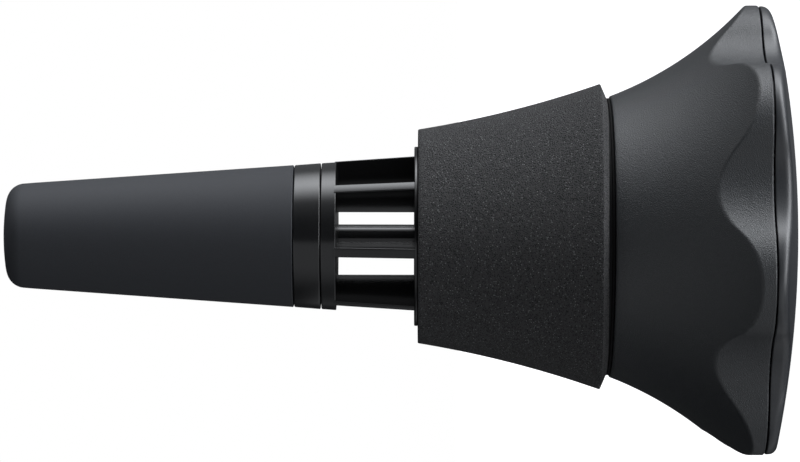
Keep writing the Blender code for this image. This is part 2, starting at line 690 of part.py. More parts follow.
def make_nose_liner(material, parent):
    """The rigid cup in the nose, its neck and flange for the coupling ring, and its plug in the spigot."""
    inner_top = LINER_TOP - LINER_WALL
    groove = o_ring_groove(PLUG_RADIUS, PLUG_GROOVE_BASE)
    profile = (
        [
            (0, LINER_TOP),
            (liner_radius(LINER_TOP) - LINER_TOP_ROUND, LINER_TOP),
            (liner_radius(LINER_TOP), LINER_TOP - LINER_TOP_ROUND),
            (liner_radius(NOSE_BASE), NOSE_BASE),
            (LINER_NECK_RADIUS, NOSE_BASE),
            (LINER_NECK_RADIUS, LINER_FLANGE_TOP),
            (SPIGOT_RADIUS, LINER_FLANGE_TOP),
            (SPIGOT_RADIUS, LINER_FLANGE_BASE),
            (PLUG_RADIUS, LINER_FLANGE_BASE),
        ]
        + groove[::-1]
        + [
            (PLUG_RADIUS, PLUG_BASE),
            (PLUG_BORE, PLUG_BASE),
            (PLUG_BORE, LINER_FLANGE_TOP),
            (liner_radius(NOSE_BASE, LINER_WALL), NOSE_BASE + LINER_WALL),
            (liner_radius(inner_top, LINER_WALL), inner_top),
            (0, inner_top),
        ]
    )
    return turned("nose_liner", profile, MEDIUM_SEGMENTS, material, parent)


def make_nose_damper(material, parent):
    base = TUBE_TOP + DAMPER_GAP
    top = LINER_TOP - LINER_WALL - CLEARANCE
    inset = LINER_WALL + CLEARANCE
    profile = [(0, top), (liner_radius(top, inset), top), (liner_radius(base, inset), base), (0, base)]
    return turned("nose_damper", profile, MEDIUM_SEGMENTS, material, parent)


def make_nose_cap(material, parent):
    """The soft sleeve over the liner: a tapered side, a rounded corner and a slightly domed end."""
    lean = math.degrees(math.atan(CONE_TAPER))
    side = cone_radius(NOSE_TIP - NOSE_TIP_ROUND) - NOSE_TIP_ROUND
    drop = math.sqrt((NOSE_DOME_RADIUS - NOSE_TIP_ROUND) ** 2 - side**2)
    corner = (side, NOSE_TIP - NOSE_DOME_RADIUS + drop)
    steep = math.degrees(math.acos(side / (NOSE_DOME_RADIUS - NOSE_TIP_ROUND)))
    rear = (cone_radius(NOSE_BASE) - NOSE_REAR_ROUND, NOSE_BASE + NOSE_REAR_ROUND)
    inner_top = NOSE_TIP - NOSE_END_WALL
    inner_round = LINER_TOP_ROUND

    def inner(height):
        return cone_radius(height) - NOSE_WALL

    profile = (
        [(0, NOSE_TIP)]
        + rounded(corner, NOSE_TIP_ROUND, steep, lean, TIP_STEPS)
        + rounded(rear, NOSE_REAR_ROUND, 0, -90, 2)
        + [
            (inner(NOSE_BASE), NOSE_BASE),
            (inner(inner_top), inner_top - inner_round),
            (inner(inner_top) - inner_round, inner_top),
            (0, inner_top),
        ]
    )
    return turned("nose_cap", profile, LARGE_SEGMENTS, material, parent)


def main():
    for obj in list(bpy.data.objects):
        bpy.data.objects.remove(obj, do_unlink=True)

    silicone = plastic("silicone", (0.05, 0.053, 0.057), 0.62)
    gloss = plastic("gloss_abs", (0.012, 0.012, 0.013), 0.22)
    satin = plastic("satin_abs", (0.022, 0.023, 0.026), 0.42)
    inner_abs = plastic("inner_abs", (0.05, 0.05, 0.052), 0.5)
    sponge = plastic("sponge", (0.03, 0.03, 0.032), 0.95)
    felt = plastic("damping_foam", (0.1, 0.1, 0.105), 0.98)
    rubber = plastic("rubber", (0.01, 0.01, 0.01), 0.7)
    steel = plastic("steel", (0.55, 0.55, 0.56), 0.3, 1.0)

    body = empty("body_frame", 0.0)
    nose = empty("nose_frame", NOSE_BASE, body)
    coupling = empty("coupling_frame", COUPLING_BASE, nose)
    cap = empty("cap_frame", NOSE_BASE, nose)
    collar = empty("collar_frame", CORE_BASE, body)

    make_rear_cover(satin, body)
    make_damping_pad(felt, body)
    make_bell_shell(satin, body)
    make_neck_seal(rubber, body)
    make_baffle_plate(inner_abs, body)
    make_baffle_screws(steel, body)
    make_grommet("baffle_grommet", BAFFLE_BASE, BAFFLE_TOP, False, rubber, body)
    make_core_cone(inner_abs, body)
    make_core_damper(felt, body)
    make_foam_collar(sponge, collar)
    make_vent_cage(gloss, body)
    make_o_ring("cage_seal", SKIRT_RADIUS, SKIRT_GROOVE_BASE, rubber, body)
    make_grommet("front_grommet", HUB_BASE, HUB_TOP, True, rubber, body)
    make_centre_tube(gloss, body)
    make_coupling_ring(gloss, coupling)
    make_nose_liner(inner_abs, nose)
    make_o_ring("nose_seal", PLUG_RADIUS, PLUG_GROOVE_BASE, rubber, nose)
    make_nose_damper(felt, nose)
    make_nose_cap(silicone, cap)


main()
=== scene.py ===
"""The looks of the trumpet practice mute: its finely turned pieces, their finishes, the studio and the camera.

Sizes are in millimetres and angles in degrees, and meshes are made in metres. The mute stands nose up on its
rear cover, with its axis on Z, and one ridge of the rim and one fin of the cage on +X.
"""

import math

import bmesh
import bpy
from mathutils import Matrix, Vector, noise


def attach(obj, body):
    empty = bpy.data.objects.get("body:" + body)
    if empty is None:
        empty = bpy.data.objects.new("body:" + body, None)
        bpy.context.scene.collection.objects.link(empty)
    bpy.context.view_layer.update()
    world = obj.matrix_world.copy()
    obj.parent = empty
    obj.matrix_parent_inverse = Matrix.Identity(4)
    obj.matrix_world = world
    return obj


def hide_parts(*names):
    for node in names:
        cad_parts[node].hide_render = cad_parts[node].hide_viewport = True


MM = 0.001
GAP = 0.3  # between pieces that are fitted together
CAMERA_DISTANCE = 1040.0
FRAME_WIDTH = 200.0  # seen by the camera at the mute's axis

# Heights up the axis. Those of the slot, the rings, the hub and the neck are a little off the solids', to follow
# the photograph.
COVER_TOP = 8.58
SHELL_BASE = 8.96
SHELL_TOP = 45.97
CORE_BASE = 46.7969
CORE_TOP = 93.6469
CAGE_BASE = 93.9469
WINDOW_BASE = 94.6469
HUB_BASE = 113.75
RING_BASE = 114.1
RING_TOP = 117.7469
SPIGOT_TOP = 120.9969
COUPLING_TOP = 124.55
CONE_FOOT = 124.5469
NOSE_BASE = 124.72
NOSE_TIP = 197.0469
TUBE_TOP = 140.1469
BAFFLE_BASE = 41.1469
BAFFLE_TOP = 43.1469
BOSS_TOP = 52.5969
LINER_TOP = 193.4469
SOCKET_BASE = 86.847
BOSS_BASE = 43.447
PLUG_BASE = 118.097
CAGE_GROOVE = (88.647, 90.047)
NOSE_GROOVE = (118.697, 120.097)

# Steps round the axis
LOBED_STEPS = 560
COLLAR_STEPS = 360
THREADED_STEPS = 196
ROUND_STEPS = 180
FOAM_STEPS = 120
SMALL_STEPS = 72
SCREW_STEPS = 48

# Nose and its cup
CONE_RADIUS = 17.76  # at the foot of the cone
CONE_SLOPE = 0.0693
SLEEVE_WALL = 3.5
LINER_INSET = 3.8  # from the cone to the side of the cup
LINER_WALL = 1.5
PLUG_RADIUS = 12.3

# Rim, shell and cover
LOBES = 7
RIM_RADIUS = 57.87
SCOOP_RADIUS = 20.0
SCOOP_DEPTH = 9.3
RIM_BLEND = 0.6
SHELL_WALL = 2.0
NECK_LIP_BORE = 30.47
COVER_INSET = 0.2
COVER_WALL = 1.8
COVER_EDGE_ROUND = 2.3
DOME_RADIUS = 262.0
FOOT_RADIUS = 10.0

# Cage, spigot and screws
FIN_THICKNESS = 2.45
FIN_INNER_RADIUS = 11.2
SPIGOT_RADIUS = 15.0
THREAD_PITCH = 1.5
THREAD_DEPTH = 0.35
THREAD_MARGIN = 0.35  # from the end of a threaded wall to its thread
SKIRT_RADIUS = 20.27
HUB_THICKNESS = 2.0
PLATE_BORE = 4.9  # of the hub and the baffle, round their grommets
BUSH_FLANGE = 0.9
GROOVE_DEPTH = 1.4
SCREW_CIRCLE = 26.82
SCREW_COUNT = 4
SCREW_HOLE_RADIUS = 1.8

# Carrier, sponge collar and washer
COLLAR_WALL = 4.0
CARRIER_INSET = 2.1  # from the seat to the inside of the carrier
CARRIER_FLANGE = 1.8
SOCKET_RADIUS = 20.566
WASHER_BORE, WASHER_RADIUS = 30.97, 34.6
WASHER_BASE, WASHER_TOP = 46.1, 46.72

# Studio. A turn goes round the mute's axis in degrees, from the camera's side by way of the picture's top, and
# a level is a direction's share along the axis, towards the nose. A tuple of four says where a band rises and
# falls, and a tuple of two where a light fades in. The strip lies along the plane that has STRIP_NORMAL.
SOFTBOX_TURN = (54.0, 92.0, 86.0, 128.0)
SOFTBOX_LEVEL = (-0.85, -0.6, 0.3, 0.85)
SPILL_TURN = (20.0, 62.0, 115.0, 160.0)
TABLE_TURN = (-104.0, -46.0, -10.4, -9.2)
BEHIND_TURN = (118.0, 150.0)
FRONT_LEVEL = (0.3, 0.6)
UPRIGHT_LEVEL = (-0.5, -0.2, 0.02, 0.12)
WALL_LEVEL = (-0.8, -0.5, -0.3, -0.12)
WALL_AWAY = (0.35, -0.2)
UNDER_TURN = (-150.0, -125.0, -100.0, -80.0)
UNDER_LEVEL = (0.12, -0.02)
STRIP_TILT = (-0.24, -0.1, 0.1, 0.24)
STRIP_ACROSS = (-0.35, 0.0, 0.75, 0.95)
STRIP_LEVEL = (-0.35, -0.6)
STRIP_NORMAL = (0.23, -0.867, 0.441)
AMBIENT = 0.022
GLOW_COLOUR = (0.965, 0.99, 1.03)

# Camera
CAMERA_ACROSS = 1.28
CAMERA_HEIGHT = 98.2
CAMERA_TURN = -0.4
CAMERA_ROLL = 0.1
SENSOR_WIDTH = 36.0


class Arc:
    """A concave arc of a turned outline, about a centre that lies outside it."""

    def __init__(self, centre, radius):
        self.centre = Vector(centre)
        self.radius = radius

    def at(self, height, inset=0.0):
        return self.centre.x - math.sqrt((self.radius + inset) ** 2 - (height - self.centre.y) ** 2)

    def heights(self, top, base, count):
        first = math.asin((self.centre.y - top) / self.radius)
        last = math.asin((self.centre.y - base) / self.radius)
        steps = [first + (last - first) * i / (count - 1) for i in range(count)]
        return [self.centre.y - self.radius * math.sin(step) for step in steps]


FLARE = Arc((118.2613, 77.5996), 89.0)
SEAT = Arc((289.7229, 136.1990), 270.4)


def cone_radius(height):
    """The cone that the nose, the coupling ring and the cage share."""
    return CONE_RADIUS + CONE_SLOPE * (CONE_FOOT - height)


def liner_radius(height, inset=0.0):
    """The side of the cup in the nose."""
    return cone_radius(height) - LINER_INSET - inset


def dome_height(radius):
    """The dome of the rear cover, round its flat foot."""
    return math.sqrt(DOME_RADIUS**2 - FOOT_RADIUS**2) - math.sqrt(DOME_RADIUS**2 - radius**2)


def smooth_min(first, second, blend):
    """The smaller of two values, with a soft change where they are alike."""
    overlap = max(blend - abs(first - second), 0.0) / blend
    return min(first, second) - overlap**2 * blend / 4


HALF_PITCH = math.pi / LOBES
SCOOP_CENTRE = RIM_RADIUS - SCOOP_DEPTH + SCOOP_RADIUS
SCOOP_REACH = SCOOP_CENTRE * math.cos(HALF_PITCH)
RIDGE_RADIUS = (SCOOP_CENTRE**2 + RIM_RADIUS**2 - 2 * RIM_RADIUS * SCOOP_REACH - SCOOP_RADIUS**2) / (
    2 * (SCOOP_RADIUS + RIM_RADIUS - SCOOP_REACH)
)
RIDGE_CENTRE = RIM_RADIUS - RIDGE_RADIUS
RIDGE_SHARE = RIDGE_RADIUS / (RIDGE_RADIUS + SCOOP_RADIUS)
RIDGE_END = math.atan2(
    SCOOP_CENTRE * math.sin(HALF_PITCH) * RIDGE_SHARE,
    RIDGE_CENTRE + (SCOOP_REACH - RIDGE_CENTRE) * RIDGE_SHARE,
)


def rim_outline(angle, inset=0.0):
    """The radius of the wavy rim at an angle, where the arc of each ridge meets the arcs of two scoops."""
    from_ridge = abs((angle + HALF_PITCH) % (2 * HALF_PITCH) - HALF_PITCH)
    if from_ridge < RIDGE_END:
        bulge = math.sqrt(RIDGE_RADIUS**2 - (RIDGE_CENTRE * math.sin(from_ridge)) ** 2)
        return RIDGE_CENTRE * math.cos(from_ridge) + bulge - inset
    from_scoop = HALF_PITCH - from_ridge
    hollow = math.sqrt(SCOOP_RADIUS**2 - (SCOOP_CENTRE * math.sin(from_scoop)) ** 2)
    return SCOOP_CENTRE * math.cos(from_scoop) - hollow - inset


def shell_radius(height, angle, inset=0.0):
    """The flare, cut off by the rim's wavy wall."""
    return smooth_min(FLARE.at(height, inset), rim_outline(angle, inset), RIM_BLEND)


def rounded(centre, radius, start, end, steps):
    """Points of an arc in a profile, from one direction to the other, 0 outward and 90 up."""
    turns = [math.radians(start + (end - start) * i / steps) for i in range(steps + 1)]
    return [(centre[0] + radius * math.cos(turn), centre[1] + radius * math.sin(turn)) for turn in turns]


def eased(profile, ease, closed=True, steps=3):
    """The same profile with each corner rounded off, and with a row beside each rounding to hold it."""
    points = [Vector(point) for point in profile]
    made = []
    for index, point in enumerate(points):
        if not closed and index in (0, len(points) - 1):
            made.append(tuple(point))
            continue
        before = points[index - 1] - point
        after = points[(index + 1) % len(points)] - point
        if before.length < 1e-6 or after.length < 1e-6 or before.angle(after) > math.radians(165):
            made.append(tuple(point))
            continue
        reach = min(ease, before.length * 0.3, after.length * 0.3)
        start, end = point + before.normalized() * reach, point + after.normalized() * reach
        made.append(tuple(point + before.normalized() * reach * 1.5))
        for step in range(steps + 1):
            share = step / steps
            made.append(tuple(start.lerp(point, share).lerp(point.lerp(end, share), share)))
        made.append(tuple(point + after.normalized() * reach * 1.5))
    return made


def turned_mesh(profile_at, steps):
    """Spins a profile about Z. profile_at gives its (radius, height) points at an angle.

    A profile that starts on the axis also ends there, and any other is a closed loop round a bore.
    """
    bm = bmesh.new()
    row_of = bm.verts.layers.int.new("row")
    start = profile_at(0.0)
    verts = []
    for row, (radius, height) in enumerate(start):
        vert = bm.verts.new((radius * MM, 0, height * MM))
        vert[row_of] = row
        verts.append(vert)
    edges = [bm.edges.new(pair) for pair in zip(verts, verts[1:])]
    if start[0][0] > 0:
        edges.append(bm.edges.new((verts[-1], verts[0])))
    bmesh.ops.spin(bm, geom=verts + edges, axis=(0, 0, 1), angle=math.tau, steps=steps, use_merge=True)
    bmesh.ops.remove_doubles(bm, verts=bm.verts, dist=1e-7)
    rows_at = {}
    for vert in bm.verts:
        angle = round(math.atan2(vert.co.y, vert.co.x), 6)
        if angle not in rows_at:
            rows_at[angle] = profile_at(angle)
        radius, height = rows_at[angle][vert[row_of]]
        vert.co = (radius * MM * math.cos(angle), radius * MM * math.sin(angle), height * MM)
    bm.verts.layers.int.remove(row_of)
    return bm


def add_piece(name, bm, finish, body, node):
    """Makes the fine piece that stands for a node, rides on its body and takes its finish."""
    bmesh.ops.recalc_face_normals(bm, faces=bm.faces)
    mesh = bpy.data.meshes.new(name)
    bm.to_mesh(mesh)
    bm.free()
    mesh.shade_smooth()
    mesh.set_sharp_from_angle(angle=math.radians(50))
    mesh.materials.append(finish)
    piece = bpy.data.objects.new(name, mesh)
    bpy.context.scene.collection.objects.link(piece)
    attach(piece, body)
    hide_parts(node)
    return piece


def turned(name, profile, steps, finish, body, node):
    """Makes a piece that has the same profile all round."""
    return add_piece(name, turned_mesh(lambda angle: profile, steps), finish, body, node)


def join(bm, other):
    """Adds another closed shape to a mesh."""
    mesh = bpy.data.meshes.new("joined")
    other.to_mesh(mesh)
    other.free()
    bm.from_mesh(mesh)
    bpy.data.meshes.remove(mesh)


def soften(bm, width):
    """Rounds off every edge of a flat-sided shape."""
    bmesh.ops.bevel(
        bm,
        geom=list(bm.edges),
        offset=width * MM,
        offset_type="OFFSET",
        segments=2,
        profile=0.5,
        affect="EDGES",
        material=-1,
        clamp_overlap=True,
    )


def post(radius, base, top, x, y, steps=48):
    """An upright cylinder between two heights."""
    bm = bmesh.new()
    bmesh.ops.create_cone(
        bm,
        cap_ends=True,
        segments=steps,
        radius1=radius * MM,
        radius2=radius * MM,
        depth=(top - base) * MM,
        matrix=Matrix.Translation(Vector((x, y, (base + top) / 2)) * MM),
    )
    return bm


def cut_holes(bm, cutters):
    """The mesh with round holes cut through it."""
    solid = bpy.data.objects.new("solid", bpy.data.meshes.new("solid"))
    bm.to_mesh(solid.data)
    bm.free()
    tool_bm = bmesh.new()
    for cutter in cutters:
        join(tool_bm, cutter)
    bmesh.ops.recalc_face_normals(tool_bm, faces=tool_bm.faces)
    tool = bpy.data.objects.new("tool", bpy.data.meshes.new("tool"))
    tool_bm.to_mesh(tool.data)
    tool_bm.free()
    for obj in (solid, tool):
        bpy.context.scene.collection.objects.link(obj)
    change = solid.modifiers.new("holes", "BOOLEAN")
    change.operation = "DIFFERENCE"
    change.solver = "EXACT"
    change.object = tool
    made = bmesh.new()
    made.from_object(solid, bpy.context.evaluated_depsgraph_get())
    for obj in (solid, tool):
        mesh = obj.data
        bpy.data.objects.remove(obj)
        bpy.data.meshes.remove(mesh)
    return made


def place(tree, kind, settings=None, **inputs):
    """Adds a node, with each input set to a value or linked to a socket."""
    made = tree.nodes.new(kind)
    for key, value in (settings or {}).items():
        setattr(made, key, value)
    for key, value in inputs.items():
        connect(tree, made.inputs[key.replace("_", " ")], value)
    return made


def connect(tree, socket, value):
    """Links another socket to this one, or sets it to a value."""
    if isinstance(value, bpy.types.NodeSocket):
        tree.links.new(value, socket)
    elif socket.type == "RGBA" and len(value) == 3:
        socket.default_value = (*value, 1.0)
    else:
        socket.default_value = value


def calculate(tree, operation, first, second=0.0, third=0.0):
    """The result of a math operation on up to three sockets or values."""
    made = tree.nodes.new("ShaderNodeMath")
    made.operation = operation
    for socket, value in zip(made.inputs, (first, second, third)):
        connect(tree, socket, value)
    return made.outputs[0]


def ramp(tree, value, low, high, start=0.0, end=1.0):
    """The value's place between low and high, turned softly into a number between start and end."""
    settings = {"interpolation_type": "SMOOTHSTEP"}
    made = place(tree, "ShaderNodeMapRange", settings, Value=value, From_Min=low, From_Max=high)
    made.inputs["To Min"].default_value = start
    made.inputs["To Max"].default_value = end
    return made.outputs["Result"]


def band(tree, value, rise_start, rise_end, fall_start, fall_end):
    """1 where a value lies in the middle of a band, falling softly to 0 at both its edges."""
    rise = ramp(tree, value, rise_start, rise_end)
    return calculate(tree, "MULTIPLY", rise, ramp(tree, value, fall_start, fall_end, 1.0, 0.0))


def shade(tree, share, first, second):
    """A colour between two others."""
    made = tree.nodes.new("ShaderNodeMix")
    made.data_type = "RGBA"
    connect(tree, made.inputs["Factor"], share)
    connect(tree, made.inputs[6], first)
    connect(tree, made.inputs[7], second)
    return made.outputs[2]


def new_group(name, inputs, outputs):
    """A new shader group that has number sockets only, with its two end nodes."""
    tree = bpy.data.node_groups.new(name, "ShaderNodeTree")
    for label, default in inputs:
        tree.interface.new_socket(label, in_out="INPUT", socket_type="NodeSocketFloat").default_value = default
    for label in outputs:
        tree.interface.new_socket(label, in_out="OUTPUT", socket_type="NodeSocketFloat")
    return tree, tree.nodes.new("NodeGroupInput"), tree.nodes.new("NodeGroupOutput")


def spark_grain_group():
    """The fine pitted grain that a spark-eroded mould leaves on plastic and silicone."""
    tree, given, made = new_group("spark grain", [("Grains", 2600.0), ("Pitting", 0.5)], ["Height", "Tone"])
    where = place(tree, "ShaderNodeTexCoord").outputs["Object"]
    pits = place(tree, "ShaderNodeTexVoronoi", {"feature": "F1"}, Vector=where, Scale=given.outputs["Grains"])
    fine = place(
        tree,
        "ShaderNodeTexNoise",
        Vector=where,
        Scale=calculate(tree, "MULTIPLY", given.outputs["Grains"], 1.3),
        Detail=2.0,
        Roughness=0.6,
    )
    drop = calculate(tree, "MULTIPLY", pits.outputs["Distance"], given.outputs["Pitting"])
    height = calculate(tree, "ADD", fine.outputs["Fac"], drop)
    tree.links.new(height, made.inputs["Height"])
    tree.links.new(ramp(tree, fine.outputs["Fac"], 0.35, 0.65), made.inputs["Tone"])
    return tree


def handling_group():
    """Faint clouds and finger marks that change how a surface shines."""
    tree, given, made = new_group("handling", [("Amount", 0.1)], ["Change"])
    where = place(tree, "ShaderNodeTexCoord").outputs["Object"]
    clouds = place(tree, "ShaderNodeTexNoise", Vector=where, Scale=45.0, Detail=3.0, Roughness=0.55)
    marks = place(tree, "ShaderNodeTexNoise", Vector=where, Scale=310.0, Detail=2.0, Distortion=0.6)
    both = calculate(tree, "MULTIPLY_ADD", marks.outputs["Fac"], 0.4, clouds.outputs["Fac"])
    centred = calculate(tree, "SUBTRACT", both, 0.7)
    tree.links.new(calculate(tree, "MULTIPLY", centred, given.outputs["Amount"]), made.inputs["Change"])
    return tree


def foam_cells_group():
    """The open cells of a foam: fine grit, dark pores between struts, and here and there a painted glint on a
    strut.
    """
    outputs = ["Height", "Tone", "Glint"]
    tree, given, made = new_group("foam cells", [("Cells", 2600.0), ("Pores", 0.5)], outputs)
    where = place(tree, "ShaderNodeTexCoord").outputs["Object"]
    cell_size = given.outputs["Cells"]
    grit = place(tree, "ShaderNodeTexNoise", Vector=where, Scale=cell_size, Detail=3.0, Roughness=0.8)
    pores = place(tree, "ShaderNodeTexVoronoi", {"feature": "F1"}, Vector=where, Scale=cell_size)
    depth = calculate(tree, "MULTIPLY", ramp(tree, pores.outputs["Distance"], 0.1, 0.6), given.outputs["Pores"])
    height = calculate(tree, "ADD", depth, grit.outputs["Fac"])
    tree.links.new(height, made.inputs["Height"])
    tree.links.new(ramp(tree, height, 0.5, 1.15), made.inputs["Tone"])
    chosen = place(tree, "ShaderNodeSeparateXYZ", Vector=pores.outputs["Color"])
    glint = calculate(
        tree,
        "MULTIPLY",
        ramp(tree, chosen.outputs["X"], 0.72, 0.95),
        ramp(tree, pores.outputs["Distance"], 0.45, 0.15),
    )
    tree.links.new(glint, made.inputs["Glint"])
    return tree


def use_group(tree, group, **inputs):
    """Adds a node that uses a shader group, with its inputs set."""
    made = tree.nodes.new("ShaderNodeGroup")
    made.node_tree = group
    for key, value in inputs.items():
        made.inputs[key].default_value = value
    return made


def new_finish(name, roughness, colour, **sockets):
    """A material with its plain values set on the shader's own sockets."""
    finish = bpy.data.materials.new(name)
    finish.use_nodes = True
    tree = finish.node_tree
    shader = tree.nodes["Principled BSDF"]
    shader.inputs["Roughness"].default_value = roughness
    shader.inputs["Base Color"].default_value = (*colour, 1.0)
    for key, value in sockets.items():
        shader.inputs[key.replace("_", " ")].default_value = value
    finish.diffuse_color = (*colour, 1.0)
    return finish, tree, shader


def moulded_finish(name, dark, light, roughness, grains, pitting, relief, marks, painted_shade_heights=None, **sockets):
    """Moulded plastic, silicone or rubber: a grained surface with faint handling marks.

    painted_shade_heights gives two heights, between which the colour is darker: painted shade, as on the cage's
    fins and hub in shade behind its front ring.
    """
    finish, tree, shader = new_finish(name, roughness, dark, **sockets)
    grain = use_group(tree, GROUPS["grain"], Grains=grains, Pitting=pitting)
    handled = use_group(tree, GROUPS["handling"], Amount=marks)
    colour = shade(tree, grain.outputs["Tone"], dark, light)
    # Painted shade: the colour is darker between the two heights.
    if painted_shade_heights:
        where = place(tree, "ShaderNodeTexCoord").outputs["Object"]
        height = place(tree, "ShaderNodeSeparateXYZ", Vector=where).outputs["Z"]
        low, high = (limit * MM for limit in painted_shade_heights)
        inside = band(tree, height, low - 0.2 * MM, low, high, high + 0.1 * MM)
        colour = shade(tree, inside, colour, [0.35 * part for part in dark])
    tree.links.new(colour, shader.inputs["Base Color"])
    rough = calculate(tree, "ADD", handled.outputs["Change"], roughness)
    tree.links.new(rough, shader.inputs["Roughness"])
    bump = place(tree, "ShaderNodeBump", Strength=1.0, Distance=relief * MM, Height=grain.outputs["Height"])
    tree.links.new(bump.outputs["Normal"], shader.inputs["Normal"])
    return finish


def foam_finish(name, dark, light, glint, cells, pores, relief, roughness=1.0, shine=0.15, cut=None):
    """Open-celled foam. cut says how many times lighter the colour is on faces turned towards the rear: painted
    light on those faces.
    """
    finish, tree, shader = new_finish(name, roughness, dark, Specular_IOR_Level=shine)
    foam = use_group(tree, GROUPS["foam"], Cells=cells, Pores=pores)
    # Painted light: faces turned towards the rear are drawn lighter.
    if cut:
        facing = place(tree, "ShaderNodeTexCoord").outputs["Normal"]
        upward = place(tree, "ShaderNodeSeparateXYZ", Vector=facing).outputs["Z"]
        painted_light_share = ramp(tree, upward, -0.5, -0.75)
        light = shade(tree, painted_light_share, light, [cut * part for part in light])
    colour = shade(tree, foam.outputs["Tone"], dark, light)
    # Painted glints on some struts.
    tree.links.new(shade(tree, foam.outputs["Glint"], colour, glint), shader.inputs["Base Color"])
    bump = place(tree, "ShaderNodeBump", Strength=1.0, Distance=relief * MM, Height=foam.outputs["Height"])
    tree.links.new(bump.outputs["Normal"], shader.inputs["Normal"])
    return finish


def steel_finish():
    """Steel with a fine grain and handling marks."""
    finish, tree, shader = new_finish("turned steel", 0.3, (0.5, 0.5, 0.51), Metallic=1.0)
    handled = use_group(tree, GROUPS["handling"], Amount=0.25)
    grain = use_group(tree, GROUPS["grain"], Grains=6000.0, Pitting=0.2)
    tree.links.new(calculate(tree, "ADD", handled.outputs["Change"], 0.3), shader.inputs["Roughness"])
    bump = place(tree, "ShaderNodeBump", Strength=0.4, Distance=0.01 * MM, Height=grain.outputs["Height"])
    tree.links.new(bump.outputs["Normal"], shader.inputs["Normal"])
    return finish


def o_ring_groove(radius, base, top):
    """The profile of a groove in a turned wall, from its base to its top."""
    floor = radius - GROOVE_DEPTH
    return [(radius, base), (floor, base), (floor, top), (radius, top)]


def threaded(radius, base, top, depth, rows):
    """The rows of a thread between two heights, for each angle. A positive depth goes inward."""
    steepness, crest, run_out = 2.6, 0.15, 0.5

    def at(angle):
        made = []
        for row in range(rows + 1):
            height = base + (top - base) * row / rows
            turn = (height / THREAD_PITCH - angle / math.tau) % 1.0
            flank = min(max(steepness * abs(turn - 0.5) - crest, 0.0), 1.0)
            ends = min((height - base) / run_out, (top - height) / run_out, 1.0)
            made.append((radius - depth * flank * ends, height))
        return made

    return at


def make_flared_shell(finish):
    """The flared shell, its finger scoops cut through the flare, its wavy rim and the lip at its neck.

    The rows of its mesh follow the wave where the flare meets the rim's wall, and lie close together there.
    """
    neck = shell_radius(SHELL_TOP, 0.0)
    edge_round, crown_drop = 0.4, 0.22

    def profile(angle):
        rim = rim_outline(angle)
        wave = FLARE.centre.y - math.sqrt(FLARE.radius**2 - (FLARE.centre.x - rim) ** 2)
        heights = FLARE.heights(SHELL_TOP - crown_drop, wave + 1.0, 54)
        heights += [wave + 0.9 - 0.1 * step for step in range(18)]
        heights += [wave - 0.9 + (SHELL_BASE + 1.2 - wave) * share for share in (0, 0.2, 0.4, 0.6, 0.8, 0.95)]
        outer = [(shell_radius(height, angle), height) for height in heights]
        inner_rows = FLARE.heights(SHELL_TOP - SHELL_WALL, wave, 26)
        corner = (rim - edge_round, SHELL_BASE + edge_round)
        edge = [(rim, SHELL_BASE + 0.48)] + rounded(corner, edge_round, 0, -90, 4)
        edge += [(rim - 0.48, SHELL_BASE), (rim - SHELL_WALL, SHELL_BASE)]
        inner = [(shell_radius(height, angle, SHELL_WALL), height) for height in reversed(inner_rows)]
        lip = [(NECK_LIP_BORE, SHELL_TOP - SHELL_WALL), (NECK_LIP_BORE, SHELL_TOP)]
        crown = [(neck - 0.5, SHELL_TOP), (neck - 0.2, SHELL_TOP), (neck - 0.05, SHELL_TOP - 0.06)]
        return crown + outer + edge + inner + lip

    bm = turned_mesh(profile, LOBED_STEPS)
    return add_piece("flared_shell", bm, finish, "mute_body", "bell_shell")


def make_domed_cover(finish):
    """The shallow domed cover, with its rounded edge and the tabs that hold it in the shell."""
    dome_rows, top_round = 15, 0.25

    def profile(angle):
        rim = rim_outline(angle, COVER_INSET)
        slope = math.asin((rim - COVER_EDGE_ROUND) / DOME_RADIUS)
        seat = rim - COVER_EDGE_ROUND * (1 - math.sin(slope))
        centre = (rim - COVER_EDGE_ROUND, dome_height(seat) + COVER_EDGE_ROUND * math.cos(slope))
        lowest = math.degrees(slope) - 90
        reach = centre[0] - FOOT_RADIUS
        spread = [FOOT_RADIUS + reach * (i / dome_rows) for i in range(dome_rows)]
        dome = [(radius, dome_height(radius)) for radius in spread]
        edge = rounded(centre, COVER_EDGE_ROUND, lowest, 0, 12)
        top = rounded((rim - top_round, COVER_TOP - top_round), top_round, 0, 90, 3)
        inside = rounded(centre, COVER_EDGE_ROUND - COVER_WALL, 0, lowest, 3)
        under = [(radius, height + COVER_WALL) for radius, height in reversed(dome)]
        wall = [(rim, COVER_TOP - 0.4)] + top + [(rim - COVER_WALL, COVER_TOP)]
        return [(0, 0), (FOOT_RADIUS - 0.6, 0)] + dome + edge + wall + inside + under + [(0, COVER_WALL)]

    bm = turned_mesh(profile, LOBED_STEPS)
    tab_base, tab_top = (54.8, 6.6), (53.4, COVER_TOP + 3.0)  # radius and height of a tab's outer face
    half_width, thickness = 4.5, 2.0
    for lobe in range(LOBES):
        tab = bmesh.new()
        for vert in bmesh.ops.create_cube(tab, size=1.0)["verts"]:
            outer, height = tab_top if vert.co.z > 0 else tab_base
            reach = outer if vert.co.x > 0 else outer - thickness
            vert.co = Vector((reach, math.copysign(half_width, vert.co.y), height)) * MM
        soften(tab, 0.25)
        tab.transform(Matrix.Rotation(math.tau * lobe / LOBES, 4, "Z"))
        join(bm, tab)
    return add_piece("domed_cover", bm, finish, "mute_body", "rear_cover")


